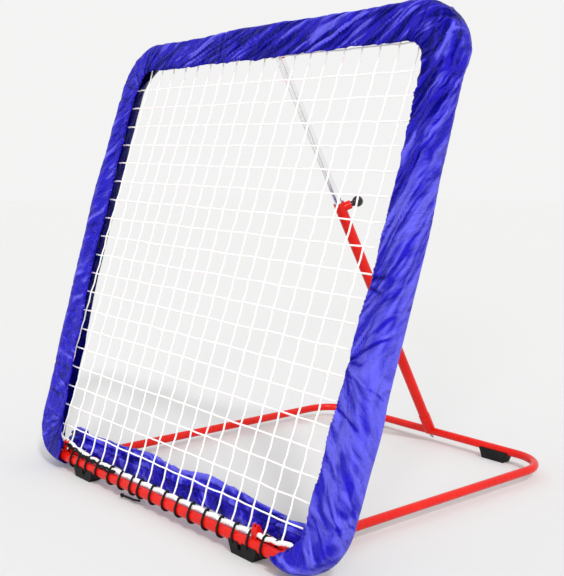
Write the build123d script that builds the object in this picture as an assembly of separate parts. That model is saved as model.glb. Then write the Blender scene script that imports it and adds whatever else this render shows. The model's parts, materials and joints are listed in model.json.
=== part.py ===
from build123d import *
from math import asin, atan2, cos, degrees, hypot, radians, sin, tan
import os

# Pitch back rebounder: a laced net in a square tube frame that leans back on a U-shaped base,
# held by a telescopic strut. Millimetres, +X right, +Y to the back, +Z up.
# The origin is on the floor, under the middle of the whole object.

# ---------------------------------------------------------------- driving dimensions
LEAN = radians(17.5)          # frame tilt back from vertical
SIDE = 980.0                  # net frame, tube centre to tube centre, both ways
CORNER_R = 90.0               # centreline radius of the frame's corners
FRAME_TUBE_R = 11.0
FRAME_WALL = 1.2
RAIL_Z = 28.0                 # bottom rail centre above the floor
RAIL_Y = -415.3               # bottom rail centre, front to back

BASE_HALF = 359.0             # base arm centre from the middle
BASE_DEPTH = 841.0            # bottom rail centre to rear crossbar centre
BASE_BEND_R = 90.0
BASE_TUBE_R = 9.5
BASE_WALL = 1.5

HINGE_BACK = 27.0             # hinge axis behind the bottom rail centre
HINGE_UP = 2.0                # hinge axis above the bottom rail centre
EAR_IN = 301.0                # inner hinge bracket's near side, from the middle
EAR_OUT = 379.0               # outer hinge bracket's near side
EAR_W = 13.0                  # width of each channel-shaped bracket
EAR_T = 3.0
TALL_EAR = [(-1.5, 5), (-1.5, 26), (3, 37), (8, 38), (15, 22), (24, 13)]
LOW_EAR = [(4, 9), (10, 13.5), (24, 13)]
BOLT_R = 4.0                  # M8 bolts at the hinges, the strut top and the clamp
RUN = 0.05                    # radial clearance of a turning fit

STRUT_OUTER_R = 12.5
STRUT_OUTER_WALL = 1.5
STRUT_INNER_R = 9.5
STRUT_INNER_WALL = 1.2
STRUT_MOUTH = 683.0           # outer tube's mouth, from the crossbar centre
STRUT_SOCKET_TOP = 52.0       # top of the socket on the crossbar
STRUT_INNER_FOOT = 483.0      # lower end of the inner tube
TOP_EYE = 34.0                # top rail centre to the strut's top bolt
TOP_EYE_R = 12.5              # cross sleeve at the inner tube's top
TOP_EYE_HALF = 10.2
TOP_SLOT_R = 8.0              # clearance hole of the opened pivot

KNOB_T = 669.0                # clamp screw, from the crossbar centre along the strut
KNOB_TURN = 52.0              # clamp screw direction, degrees from +X to the back
KNOB_BALL_R = 12.5
KNOB_BALL_OUT = 41.0          # ball centre from the strut axis
BOSS_R = 10.0
BOSS_OUT = 25.0

ROPE_IN = 17.5                # border rope centre inside the tube centre
ROPE_R = 4.5
NET_CELLS = 20                # cells across and up
NET_TWINE = 3.0
NET_T = 2.4
LACE_R = 2.1
LACE_GAP = 0.3
LACE_START = -285.0           # first turn of the bottom lacing's long run
LACE_TURNS = 12
END_LACE_LEFT = -365.0        # the single turns between each hinge's two brackets
END_LACE_RIGHT = 332.0
END_LACE_PITCH = 33.0

COVER_T = 2.5
COVER_OUT = 20.0              # cover's outside from the tube centre
COVER_FRONT = 19.0            # front of the front flap from the frame plane
COVER_BACK = 31.0             # back of the rear flap from the frame plane
FLAP_SIDE = 42.0              # front flap, inward from the side tube centres
FLAP_TOP = 52.0               # front flap, down from the top tube centre
FLAP_REAR = 13.0              # rear flap, inward from the tube centre
COVER_END = 380.0             # where the cover stops on the bottom rail
REAR_FLAP_END = 425.0         # where its rear flap stops, clear of the hinges

ROLL_HALF = 440.0             # half length of the drawn-back bottom panel

FOOT_TOP = 84.0
FOOT_BOTTOM = 62.0
FRONT_FOOT_X = 287.0
REAR_FOOT_X = 206.0
FOOT_HALF_W = 12.0
FOOT_SCREW = 18.0             # each foot's two screws, from its middle
LACE_SLOT = 10.0              # slots in the front feet that let the lacing pass

# ---------------------------------------------------------------- shared placing
NET_REACH = SIDE / 2 - ROPE_IN - ROPE_R - 0.1
CELL = 2 * NET_REACH / NET_CELLS
S, C = sin(LEAN), cos(LEAN)
CROSS_Y = RAIL_Y + BASE_DEPTH
HINGE_Y = RAIL_Y + HINGE_BACK
HINGE_Z = RAIL_Z + HINGE_UP

# frame plane: local x right, local y up the slope, local z out of the front
FRAME = Plane(origin=(0, RAIL_Y, RAIL_Z), x_dir=(1, 0, 0), z_dir=(0, -C, S)).location

top_y = RAIL_Y + SIDE * S
top_z = RAIL_Z + SIDE * C
strut_run = hypot(CROSS_Y - top_y, top_z - RAIL_Z)
strut_cos = (CROSS_Y - top_y) / strut_run
strut_sin = (top_z - RAIL_Z) / strut_run
STRUT_TOP = strut_run - TOP_EYE
# strut line: local z up along the strut, local y square to it at the back
STRUT = Plane(
    origin=(0, CROSS_Y, RAIL_Z), x_dir=(1, 0, 0), z_dir=(0, -strut_cos, strut_sin)
).location


def in_frame(point):
    """A point of the row as (x, up the slope, out of the front)."""
    x, y, z = point
    y, z = y - RAIL_Y, z - RAIL_Z
    return x, y * S + z * C, -y * C + z * S


EYE = in_frame((0, CROSS_Y - STRUT_TOP * strut_cos, RAIL_Z + STRUT_TOP * strut_sin))


def tube(points, bend, r, wall):
    """A bent tube along points; wall 0 makes a solid bar."""
    path = FilletPolyline(*points, radius=bend) if len(points) > 2 else Line(*points)
    ring = Circle(r) - Circle(r - wall) if wall else Circle(r)
    return sweep(Plane(origin=path @ 0, z_dir=path % 0) * ring, path=path)


def rod(a, b, r, inner=0.0):
    """A round bar or pipe from point a to point b."""
    a, b = Vector(a), Vector(b)
    place = Plane(origin=a, z_dir=b - a)
    ring = Circle(r) - Circle(inner) if inner else Circle(r)
    return extrude(place * ring, amount=(b - a).length)


def hexagon(at, way, across, height):
    """A hexagon prism from point at, along way."""
    place = Plane(origin=at, z_dir=way)
    return extrude(place * RegularPolygon(across / 2, 6, major_radius=False), amount=height)


def save(node, *shapes):
    """Writes one node; several shapes stay separate solids."""
    solids = [s for shape in shapes for s in shape.solids()]
    export_step(solids[0] if len(solids) == 1 else Compound(children=solids), f"parts/{node}.step")


def mirrored(shape):
    return shape.mirror(Plane.YZ)


# ---------------------------------------------------------------- base
def base_tube():
    """U tube on the floor, with a slot through the crossbar for the strut's bolt."""
    front = HINGE_Y + BASE_TUBE_R - 1.0
    points = [
        (-BASE_HALF, front, RAIL_Z),
        (-BASE_HALF, CROSS_Y, RAIL_Z),
        (BASE_HALF, CROSS_Y, RAIL_Z),
        (BASE_HALF, front, RAIL_Z),
    ]
    bar = tube(points, BASE_BEND_R, BASE_TUBE_R, BASE_WALL)
    for side in (1, -1):
        bar -= rod((side * EAR_IN, HINGE_Y, HINGE_Z), (side * EAR_OUT, HINGE_Y, HINGE_Z), BASE_TUBE_R)
    lean = degrees(atan2(strut_cos, strut_sin))
    for turn in (-13, -9, -4, 0, 4):
        bar -= Pos(0, CROSS_Y, RAIL_Z) * Rot(lean + turn, 0, 0) * Box(7, 7, 40)
    return bar


def hinge_sleeves():
    made = []
    for side in (1, -1):
        a, b = side * (EAR_IN + EAR_W + 0.5), side * (EAR_OUT - 0.5)
        made.append(rod((a, HINGE_Y, HINGE_Z), (b, HINGE_Y, HINGE_Z), BASE_TUBE_R, BOLT_R))
    return made


def hinge_bolts():
    made = []
    for side in (1, -1):
        inner, outer = side * (EAR_IN - 0.4), side * (EAR_OUT + EAR_W + 10)
        shank = rod((inner, HINGE_Y, HINGE_Z), (outer, HINGE_Y, HINGE_Z), BOLT_R)
        head = hexagon((inner, HINGE_Y, HINGE_Z), (-side, 0, 0), 13, 5.3)
        made.append(shank + head)
    return made


def hinge_nuts():
    made = []
    for side in (1, -1):
        at = (side * (EAR_OUT + EAR_W + 0.4), HINGE_Y, HINGE_Z)
        nut = hexagon(at, (side, 0, 0), 13, 7.5)
        made.append(nut - rod(at, (at[0] + side * 9, HINGE_Y, HINGE_Z), BOLT_R))
    return made


def foot(x, y, tube_r, reliefs=()):
    """Rubber block, saddle-shaped on top, that grips the underside of a tube.

    reliefs: places along X of the slots that let the lacing pass."""
    depth = RAIL_Z
    side = Plane.XZ * make_face(
        Polyline(
            (-FOOT_TOP / 2, -2),
            (FOOT_TOP / 2, -2),
            (FOOT_BOTTOM / 2, -depth),
            (-FOOT_BOTTOM / 2, -depth),
            close=True,
        )
    )
    block = extrude(side, amount=FOOT_HALF_W, both=True)
    block = Pos(x, y, RAIL_Z) * fillet(block.edges().filter_by(Axis.Y), 3)
    groove = rod((x - FOOT_TOP, y, RAIL_Z), (x + FOOT_TOP, y, RAIL_Z), tube_r)
    block -= groove
    for at in (x - FOOT_SCREW, x + FOOT_SCREW):
        block -= rod((at, y, RAIL_Z - 8), (at, y, 0), 2.1)
        block -= rod((at, y, 0), (at, y, 4.0), 4.6)
    deep = FRAME_TUBE_R + 2 * (LACE_R + LACE_GAP) + 0.2
    for place in reliefs:
        block -= Pos(place, y, RAIL_Z - deep / 2) * Box(LACE_SLOT, 80, deep)
        block -= Pos(place + 6, y + 14, RAIL_Z - deep / 2) * Box(2 * LACE_SLOT, 12, deep)
    return block


def foot_screws(x, y, tube_r):
    """Pan-head screws up through a foot into the tube wall."""
    made = []
    for foot_x in (-x, x):
        for at in (foot_x - FOOT_SCREW, foot_x + FOOT_SCREW):
            shank = rod((at, y, 1.2), (at, y, RAIL_Z - tube_r), 2.0)
            made.append(shank + rod((at, y, 1.2), (at, y, 3.8), 4.4))
    return made


# ---------------------------------------------------------------- net frame
JOINT_LOW, JOINT_HIGH = 200.0, 780.0
HALF = SIDE / 2


def frame_u(rail, joint):
    """Corners of a U tube of the frame, across at rail and ending at joint on both sides."""
    return [(-HALF, joint, 0), (-HALF, rail, 0), (HALF, rail, 0), (HALF, joint, 0)]


def frame_bottom():
    return FRAME * tube(frame_u(0, JOINT_LOW), CORNER_R, FRAME_TUBE_R, FRAME_WALL)


def frame_top():
    return FRAME * tube(frame_u(SIDE, JOINT_HIGH), CORNER_R, FRAME_TUBE_R, FRAME_WALL)


def frame_side(side):
    inner = FRAME_TUBE_R - FRAME_WALL
    a, b = (side * HALF, JOINT_LOW, 0), (side * HALF, JOINT_HIGH, 0)
    return FRAME * rod(a, b, FRAME_TUBE_R, inner)


def frame_spigots():
    """Short liners that join the four frame tubes."""
    r = FRAME_TUBE_R - FRAME_WALL - 0.05
    made = []
    for side in (-1, 1):
        for joint in (JOINT_LOW, JOINT_HIGH):
            a, b = (side * HALF, joint - 40, 0), (side * HALF, joint + 40, 0)
            made.append(FRAME * rod(a, b, r, r - 1.2))
    return made


def hinge_bracket(near, peak):
    """Channel welded on the bottom rail: peak is its front edge and point, (back, up) corners.

    The tall one has a front web and an open back; the low one has a roof and an open underside."""
    outline = peak + [(36, 9), (36, -6), (30, -10), (18, -9), (13.5, -1), (9, -1)]
    block = extrude(Plane.YZ * make_face(Polyline(*outline, close=True)), amount=EAR_W)
    roof = 60 if peak is TALL_EAR else 9.5
    hollow = Pos(EAR_W / 2, 51.5, roof - 60) * Box(EAR_W - 2 * EAR_T, 100, 120)
    bracket = Pos(near, RAIL_Y, RAIL_Z) * (block - hollow)
    span = (near - 5, near + EAR_W + 5)
    bolt = rod((span[0], HINGE_Y, HINGE_Z), (span[1], HINGE_Y, HINGE_Z), BOLT_R + RUN)
    rope = FRAME * rod((span[0], ROPE_IN, 0), (span[1], ROPE_IN, 0), ROPE_R + 1.5)
    return bracket - FRAME * tube(frame_u(0, JOINT_LOW), CORNER_R, FRAME_TUBE_R, 0) - bolt - rope


def hinge_ears():
    """Each arm's hinge has one tall and one low bracket; the tall ones are the left-hand ones."""
    right = [hinge_bracket(EAR_IN, TALL_EAR), hinge_bracket(EAR_OUT, LOW_EAR)]
    left = [hinge_bracket(EAR_IN, LOW_EAR), hinge_bracket(EAR_OUT, TALL_EAR)]
    return right + [mirrored(p) for p in left]


def top_bracket():
    """Two plates on the top rail that hold the strut's bolt."""
    x, v, n = EYE
    made = []
    for side in (-1, 1):
        a = atan2(v - SIDE, n)
        body = make_face(
            Polyline(
                (-12 * sin(a), 12 * cos(a)), (12 * sin(a), -12 * cos(a)),
                (n + 12 * sin(a), v - SIDE - 12 * cos(a)), (n - 12 * sin(a), v - SIDE + 12 * cos(a)),
                close=True,
            )
        )
        body += Pos(n, v - SIDE) * Circle(12)
        # sketch axes (z out of the front, y up the slope) stood in the plane across the rail
        plane = Plane(origin=(side * 12.5, SIDE, 0), x_dir=(0, 0, 1), z_dir=(-1, 0, 0))
        plate = extrude(plane * body, amount=1.5, both=True)
        plate -= rod((side * 12.5 - 5, SIDE, 0), (side * 12.5 + 5, SIDE, 0), FRAME_TUBE_R)
        plate -= rod((side * 12.5 - 5, v, n), (side * 12.5 + 5, v, n), BOLT_R)
        rope_v = SIDE - ROPE_IN
        plate -= rod((side * 12.5 - 5, rope_v, 0), (side * 12.5 + 5, rope_v, 0), ROPE_R + 1.5)
        made.append(FRAME * plate)
    return made


def top_bolt():
    x, v, n = EYE
    shank = rod((-14.3, v, n), (22, v, n), BOLT_R)
    return FRAME * (shank + hexagon((-14.1, v, n), (-1, 0, 0), 13, 5.3))


def top_nut():
    x, v, n = EYE
    return FRAME * (hexagon((14.1, v, n), (1, 0, 0), 13, 7) - rod((13, v, n), (24, v, n), BOLT_R))


# ---------------------------------------------------------------- net and lacing
def net():
    """Square-mesh net as one perforated sheet whose twines end on the border rope."""
    middle = SIDE / 2
    outline = Pos(0, middle) * RectangleRounded(2 * NET_REACH, 2 * NET_REACH, CORNER_R - ROPE_IN - ROPE_R)
    hole = CELL - NET_TWINE
    last = NET_CELLS - 1
    holes = []
    edge_cells = []
    for i in range(NET_CELLS):
        for j in range(NET_CELLS):
            x = (i - last / 2) * CELL
            y = middle + (j - last / 2) * CELL
            if i in (0, last) or j in (0, last):
                grow_x = {0: -1, last: 1}.get(i, 0)
                grow_y = {0: -1, last: 1}.get(j, 0)
                wide, high = hole + 20 * abs(grow_x), hole + 20 * abs(grow_y)
                edge_cells.append(Pos(x + 10 * grow_x, y + 10 * grow_y) * Rectangle(wide, high))
            else:
                cell = Pos(x, y) * Rectangle(hole, hole)
                holes.append(cell.face().outer_wire())
    combed = outline - edge_cells
    sheet = Face(combed.face().outer_wire(), holes)
    return FRAME * Pos(0, 0, -NET_T / 2) * extrude(sheet, amount=NET_T, dir=(0, 0, 1))


def border_rope():
    reach = HALF - ROPE_IN
    r = CORNER_R - ROPE_IN
    middle = SIDE / 2
    ring = Pos(0, middle) * RectangleRounded(2 * reach, 2 * reach, r)
    path = ring.face().outer_wire()
    start = path.position_at(0)
    way = path.tangent_at(0)
    return FRAME * sweep(Plane(origin=start, z_dir=way) * Circle(ROPE_R), path=path)


def lacing_loop():
    """Corners of one turn round tube and rope: (inward, out of the front, share, bend radius)."""
    tube_r = FRAME_TUBE_R + LACE_GAP + LACE_R
    rope_r = ROPE_R + LACE_GAP + LACE_R
    slant = degrees(asin((tube_r - rope_r) / ROPE_IN))
    tube_step = (180 + 2 * slant) / 3
    rope_step = (180 - 2 * slant) / 2
    rope_far = rope_r / cos(radians(rope_step / 2))
    tube_far = tube_r / cos(radians(tube_step / 2))
    rope_in = ROPE_IN + rope_far * cos(radians(rope_step / 2))
    rope_out = rope_far * sin(radians(rope_step / 2))
    corners = [(rope_in, rope_out, -0.03, 4.4)]
    for turn, share in ((tube_step, 0.03), (0, 0.05), (-tube_step, 0.07)):
        angle = radians(180 - turn)
        corners.append((tube_far * cos(angle), tube_far * sin(angle), share, 0.88 * tube_r))
    return corners + [(rope_in, -rope_out, 0.93, 4.4)]


def lacing(start, along, inward, turns, pitch):
    """A spiral of cord round one frame tube and the border rope.

    start: point on the tube centre; along: way the spiral runs; inward: way to the rope."""
    start, along, inward = Vector(*start), Vector(*along), Vector(*inward)
    corners = lacing_loop()
    points = []
    bends = []
    for count in range(turns * len(corners) + 1):
        turn, corner = divmod(count, len(corners))
        up, out, share, bend = corners[corner]
        points.append(start + along * ((turn + share) * pitch) + inward * up + Vector(0, 0, out))
        bends.append(bend)
    path = FilletPolyline(*points, radius=bends[1:-1])
    return FRAME * sweep(Plane(origin=path @ 0, z_dir=path % 0) * Circle(LACE_R), path=path)


def lacing_runs():
    """One node for each side of the frame; the bottom one is broken by the hinge brackets."""
    mid, step = SIDE / 2, 2 * CELL
    across, up = (1, 0, 0), (0, 1, 0)
    bottom = [
        lacing((LACE_START, 0, 0), across, up, LACE_TURNS, CELL),
        lacing((END_LACE_RIGHT, 0, 0), across, up, 1, END_LACE_PITCH),
        lacing((END_LACE_LEFT, 0, 0), across, up, 1, END_LACE_PITCH),
    ]
    return {
        "lacing_bottom": bottom,
        "lacing_top": [lacing((k * CELL, SIDE, 0), across, (0, -1, 0), 3, step) for k in (-7.5, 1.5)],
        "lacing_left": [lacing((-HALF, mid - 7.5 * CELL, 0), up, across, 7, step)],
        "lacing_right": [lacing((HALF, mid - 7.5 * CELL, 0), up, (-1, 0, 0), 7, step)],
    }


def lacing_tail():
    """Free end of the cord below the rail, a little left of the middle."""
    points = [
        (-62, RAIL_Y - 5, RAIL_Z - 18.4),
        (-80, RAIL_Y - 9, RAIL_Z - 21.0),
        (-98, RAIL_Y - 6, RAIL_Z - 22.0),
        (-114, RAIL_Y - 11, RAIL_Z - 20.5),
    ]
    path = FilletPolyline(*points, radius=bend_radii(points))
    return sweep(Plane(origin=path @ 0, z_dir=path % 0) * Circle(LACE_R), path=path)


def tail_knot():
    return Pos(-119.5, RAIL_Y - 12, RAIL_Z - 20) * Sphere(5.0)


def bend_radii(points):
    """Arc radius at each inner point of a loose cord, from its shorter run and its turn."""
    made = []
    for a, b, c in zip(points, points[1:], points[2:]):
        before, after = Vector(*b) - Vector(*a), Vector(*c) - Vector(*b)
        half_turn = radians(before.get_angle(after)) / 2
        made.append(0.45 * min(before.length, after.length) / tan(half_turn))
    print("bend radii:", [round(r) for r in made])
    return made


# ---------------------------------------------------------------- cover
def rounded(reach_x, low, high, r):
    """Upright rounded rectangle of the frame plane, from low to high."""
    return Pos(0, (low + high) / 2) * RectangleRounded(2 * reach_x, high - low, r)


def cover_ring():
    """The whole cover: an outer band with a front and a rear flap, open to the inside."""
    out = COVER_OUT
    outer = rounded(HALF + out, -out, SIDE + out, CORNER_R + out)
    within = out - COVER_T
    band_hole = rounded(HALF + within, -within, SIDE + within, CORNER_R + within)
    front_hole = rounded(HALF - FLAP_SIDE, FLAP_SIDE, SIDE - FLAP_TOP, 45)
    rear_hole = rounded(HALF - FLAP_REAR, FLAP_REAR, SIDE - FLAP_REAR, CORNER_R - FLAP_REAR)
    deep = COVER_FRONT + COVER_BACK
    band = Pos(0, 0, -COVER_BACK) * extrude(outer - band_hole, amount=deep, dir=(0, 0, 1))
    front = Pos(0, 0, COVER_FRONT - COVER_T) * extrude(outer - front_hole, amount=COVER_T, dir=(0, 0, 1))
    rear = Pos(0, 0, -COVER_BACK) * extrude(outer - rear_hole, amount=COVER_T, dir=(0, 0, 1))
    ring = band + front + rear
    open_bottom = Box(2 * COVER_END, 2 * FLAP_SIDE + 60, 200)
    hinge_gap = Pos(0, 0, -COVER_BACK) * Box(2 * REAR_FLAP_END, 60, 2 * COVER_T + 1)
    strut_notch = Pos(0, SIDE - 20, -COVER_BACK) * Box(56, 50, 30)
    return ring - open_bottom - hinge_gap - strut_notch


def cover_panels():
    """The cover cut at its sewn seams into left, top and right panels."""
    ring = cover_ring()
    corner = CORNER_R + 30
    high = SIDE - corner
    top = ring & (Pos(0, high + 200, 0) * Box(2 * SIDE, 400, 200))
    rest = ring & (Pos(0, high - 1000, 0) * Box(2 * SIDE, 2000, 200))
    left = rest & (Pos(-SIDE, 0, 0) * Box(2 * SIDE, 4 * SIDE, 200))
    right = rest & (Pos(SIDE, 0, 0) * Box(2 * SIDE, 4 * SIDE, 200))
    return {"cover_top": FRAME * top, "cover_left": FRAME * left, "cover_right": FRAME * right}


def cover_bottom():
    """The bottom panel, drawn back off the rail and hanging behind the net."""
    section = make_face(
        Polyline((12, -40), (78, -37), (84, -45), (76, -58), (26, -61), (12, -54), close=True)
    )
    plane = Plane(origin=(-ROLL_HALF, 0, 0), x_dir=(0, 1, 0), z_dir=(1, 0, 0))
    roll = extrude(plane * section, amount=2 * ROLL_HALF)
    for side in (-1, 1):
        roll -= Pos(side * BASE_HALF, 20, -50) * Box(54, 64, 60)
    return FRAME * roll


# ---------------------------------------------------------------- strut
def strut_socket():
    """Stub that saddles the crossbar and takes the foot of the outer tube."""
    outer = STRUT_OUTER_R + 1.4
    stub = rod((0, 0, 0), (0, 0, STRUT_SOCKET_TOP), outer, BOLT_R)
    stub -= rod((0, 0, 22), (0, 0, STRUT_SOCKET_TOP + 1), STRUT_OUTER_R)
    stub -= rod((-30, 0, 0), (30, 0, 0), BASE_TUBE_R + RUN)
    stub -= Pos(0, 0, -15) * Box(60, 60, 30)
    return STRUT * stub


def strut_outer_tube():
    pipe = rod((0, 0, 22), (0, 0, STRUT_MOUTH), STRUT_OUTER_R, STRUT_OUTER_R - STRUT_OUTER_WALL)
    way = knob_way()
    pipe -= rod((0, 0, KNOB_T), (way.X * 30, way.Y * 30, KNOB_T), BOLT_R + RUN)
    return STRUT * pipe


def strut_bolt():
    """Bolt down through the socket floor and the crossbar."""
    shank = rod((0, 0, -22), (0, 0, 24), 3.0)
    grip = rod((0, 0, 12), (0, 0, 22), BOLT_R)
    head = hexagon((0, 0, 22), (0, 0, 1), 10, 4)
    tip_tube = rod((-30, 0, 0), (30, 0, 0), BASE_TUBE_R + RUN)
    return STRUT * (shank + (grip - tip_tube) + head)


def strut_nut():
    nut = hexagon((0, 0, -10.2), (0, 0, -1), 10, 5.5)
    return STRUT * (nut - rod((0, 0, -9), (0, 0, -20), 3.0))


def knob_way():
    turn = radians(KNOB_TURN)
    return Vector(cos(turn), sin(turn), 0)


def clamp_boss():
    way = knob_way()
    far = (way.X * BOSS_OUT, way.Y * BOSS_OUT, KNOB_T)
    boss = rod((0, 0, KNOB_T), far, BOSS_R, BOLT_R + RUN)
    return STRUT * (boss - rod((0, 0, KNOB_T - 40), (0, 0, KNOB_T + 40), STRUT_OUTER_R))


def clamp_stud():
    way = knob_way()
    near, far = STRUT_INNER_R + 0.2, KNOB_BALL_OUT
    a = (way.X * near, way.Y * near, KNOB_T)
    b = (way.X * far, way.Y * far, KNOB_T)
    return STRUT * rod(a, b, BOLT_R)


def clamp_knob():
    """Ball knob with a short neck, on the stud."""
    way = knob_way()
    centre = Vector(way.X * KNOB_BALL_OUT, way.Y * KNOB_BALL_OUT, KNOB_T)
    neck_from = way * (BOSS_OUT + 0.4)
    ball = Pos(*centre) * Sphere(KNOB_BALL_R)
    ball += rod((neck_from.X, neck_from.Y, KNOB_T), centre, 6.5)
    ball -= rod((0, 0, KNOB_T), centre, BOLT_R)
    return STRUT * ball


def guide_bush():
    """Plastic bush in the outer tube's mouth; the clamp screw passes through it."""
    r = STRUT_OUTER_R - STRUT_OUTER_WALL
    bush = rod((0, 0, STRUT_MOUTH - 40), (0, 0, STRUT_MOUTH - 0.5), r, STRUT_INNER_R + RUN)
    way = knob_way()
    return STRUT * (bush - rod((0, 0, KNOB_T), (way.X * 30, way.Y * 30, KNOB_T), BOLT_R + RUN))


def strut_inner_tube():
    """Sliding tube with a cross sleeve welded on its top end for the top bolt."""
    pipe = rod(
        (0, 0, STRUT_INNER_FOOT), (0, 0, STRUT_TOP), STRUT_INNER_R, STRUT_INNER_R - STRUT_INNER_WALL
    )
    ends = (-TOP_EYE_HALF, 0, STRUT_TOP), (TOP_EYE_HALF, 0, STRUT_TOP)
    return STRUT * (pipe - rod(*ends, TOP_EYE_R) + rod(*ends, TOP_EYE_R, TOP_SLOT_R))


def inner_plug():
    """Plastic guide plug on the inner tube's lower end."""
    collar = rod((0, 0, STRUT_INNER_FOOT - 12), (0, 0, STRUT_INNER_FOOT), STRUT_OUTER_R - STRUT_OUTER_WALL - RUN)
    stem = rod((0, 0, STRUT_INNER_FOOT), (0, 0, STRUT_INNER_FOOT + 20), STRUT_INNER_R - STRUT_INNER_WALL)
    return STRUT * (collar + stem)


# ---------------------------------------------------------------- write every node
def main():
    os.makedirs("parts", exist_ok=True)
    save("base_tube", base_tube())
    save("hinge_sleeves", *hinge_sleeves())
    save("hinge_bolts", *hinge_bolts())
    save("hinge_nuts", *hinge_nuts())
    save("rear_feet", *[foot(s * REAR_FOOT_X, CROSS_Y, BASE_TUBE_R) for s in (-1, 1)])
    save("rear_foot_screws", *foot_screws(REAR_FOOT_X, CROSS_Y, BASE_TUBE_R))
    save("frame_bottom_tube", frame_bottom())
    save("frame_top_tube", frame_top())
    save("frame_left_tube", frame_side(-1))
    save("frame_right_tube", frame_side(1))
    save("frame_spigots", *frame_spigots())
    save("hinge_ears", *hinge_ears())
    turns = [LACE_START + 0.06 * CELL, LACE_START + (LACE_TURNS + 0.06) * CELL]
    save("front_feet", *[foot(s * FRONT_FOOT_X, RAIL_Y, FRAME_TUBE_R, turns) for s in (-1, 1)])
    save("front_foot_screws", *foot_screws(FRONT_FOOT_X, RAIL_Y, FRAME_TUBE_R))
    save("top_bracket", *top_bracket())
    save("top_pivot_bolt", top_bolt())
    save("top_pivot_nut", top_nut())
    save("net", net())
    save("border_rope", border_rope())
    for node, runs in lacing_runs().items():
        save(node, *runs)
    save("lacing_tail", lacing_tail())
    save("lacing_knot", tail_knot())
    for node, panel in cover_panels().items():
        save(node, panel)
    save("cover_bottom", cover_bottom())
    save("strut_socket", strut_socket())
    save("strut_outer_tube", strut_outer_tube())
    save("strut_bolt", strut_bolt())
    save("strut_nut", strut_nut())
    save("clamp_boss", clamp_boss())
    save("clamp_stud", clamp_stud())
    save("clamp_knob", clamp_knob())
    save("guide_bush", guide_bush())
    save("strut_inner_tube", strut_inner_tube())
    save("inner_plug", inner_plug())


main()
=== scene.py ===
import json
import math
import random

import bmesh
import bpy
import numpy as np
from mathutils import Matrix, Vector


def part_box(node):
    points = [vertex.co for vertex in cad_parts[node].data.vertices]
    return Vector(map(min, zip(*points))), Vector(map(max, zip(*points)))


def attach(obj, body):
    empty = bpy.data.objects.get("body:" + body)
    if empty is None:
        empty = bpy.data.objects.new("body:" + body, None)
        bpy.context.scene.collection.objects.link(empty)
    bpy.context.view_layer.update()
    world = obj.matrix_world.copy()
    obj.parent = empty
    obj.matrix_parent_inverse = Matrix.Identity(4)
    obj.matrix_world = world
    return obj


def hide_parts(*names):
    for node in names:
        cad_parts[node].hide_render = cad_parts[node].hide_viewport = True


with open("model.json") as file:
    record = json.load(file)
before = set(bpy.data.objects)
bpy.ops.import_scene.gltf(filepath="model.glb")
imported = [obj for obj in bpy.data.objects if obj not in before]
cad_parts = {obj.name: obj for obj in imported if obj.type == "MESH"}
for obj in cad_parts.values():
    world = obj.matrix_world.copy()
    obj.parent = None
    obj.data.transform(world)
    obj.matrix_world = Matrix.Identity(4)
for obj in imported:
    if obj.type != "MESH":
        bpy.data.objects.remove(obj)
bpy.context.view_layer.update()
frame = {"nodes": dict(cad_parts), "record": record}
bpy.context.scene.view_settings.view_transform = "Standard"

# ---------------------------------------------------------------- sizes, in metres
MM = 0.001
LEAN = math.radians(17.5)        # of the net frame, from upright
SIDE = 0.980                     # between tube centres, both ways
HALF = SIDE / 2
CORNER_R = 0.090
FRAME_R = 0.011
ROPE_IN = 0.0175                 # from the bottom rail's centre to the border rope's
ROPE_R = 0.0046
LACE_R = 0.0024
TWINE_R = 0.0017
S, C = math.sin(LEAN), math.cos(LEAN)

rail_low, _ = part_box("frame_bottom_tube")
RAIL_Y = rail_low.y + FRAME_R
RAIL_Z = rail_low.z + FRAME_R


def at(u, v, n=0.0):
    """Row position of a point of the net frame: right, up the slope, out of the front."""
    return Vector((u, RAIL_Y + v * S - n * C, RAIL_Z + v * C + n * S))


def at_array(u, v, n):
    """The same for whole arrays."""
    return np.stack([u, RAIL_Y + v * S - n * C, RAIL_Z + v * C + n * S], axis=-1)


def ease(share):
    """Smooth step of a share between 0 and 1."""
    return share * share * (3 - 2 * share)


# ---------------------------------------------------------------- camera
CAMERA_DEGREES = (50.08, 9.46, -0.36)            # azimuth, elevation, roll
CAMERA_FROM_RAIL = (1.6056, -1.0708, 0.6817)     # metres from the bottom rail's middle
LENS_MM, SENSOR_MM = 61.46, 36
LENS_SHIFT = (0.0349, 0.0645)


def make_camera():
    azimuth, elevation, roll = (math.radians(x) for x in CAMERA_DEGREES)
    forward = Vector((-math.sin(azimuth) * math.cos(elevation),
                      math.cos(azimuth) * math.cos(elevation), -math.sin(elevation)))
    level = Vector((math.cos(azimuth), math.sin(azimuth), 0))
    down = forward.cross(level)
    right = (level * math.cos(roll) + down * math.sin(roll)).normalized()
    back = -forward
    up = back.cross(right)
    data = bpy.data.cameras.new("camera")
    data.lens = LENS_MM
    data.sensor_width = SENSOR_MM
    data.shift_x, data.shift_y = LENS_SHIFT
    data.clip_end = 50
    camera = bpy.data.objects.new("camera", data)
    place = Matrix((right, up, back)).transposed().to_4x4()
    x, y, z = CAMERA_FROM_RAIL
    place.translation = Vector((x, RAIL_Y + y, RAIL_Z + z))
    camera.matrix_world = place
    bpy.context.scene.collection.objects.link(camera)
    bpy.context.scene.camera = camera


make_camera()


# ---------------------------------------------------------------- materials
def new_material(name):
    material = bpy.data.materials.new(name)
    material.use_nodes = True
    tree = material.node_tree
    return material, tree, tree.nodes["Principled BSDF"]


def add(tree, kind, inputs=None, **settings):
    node = tree.nodes.new(kind)
    for key, value in settings.items():
        setattr(node, key, value)
    for key, value in (inputs or {}).items():
        node.inputs[key].default_value = value
    return node


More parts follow.
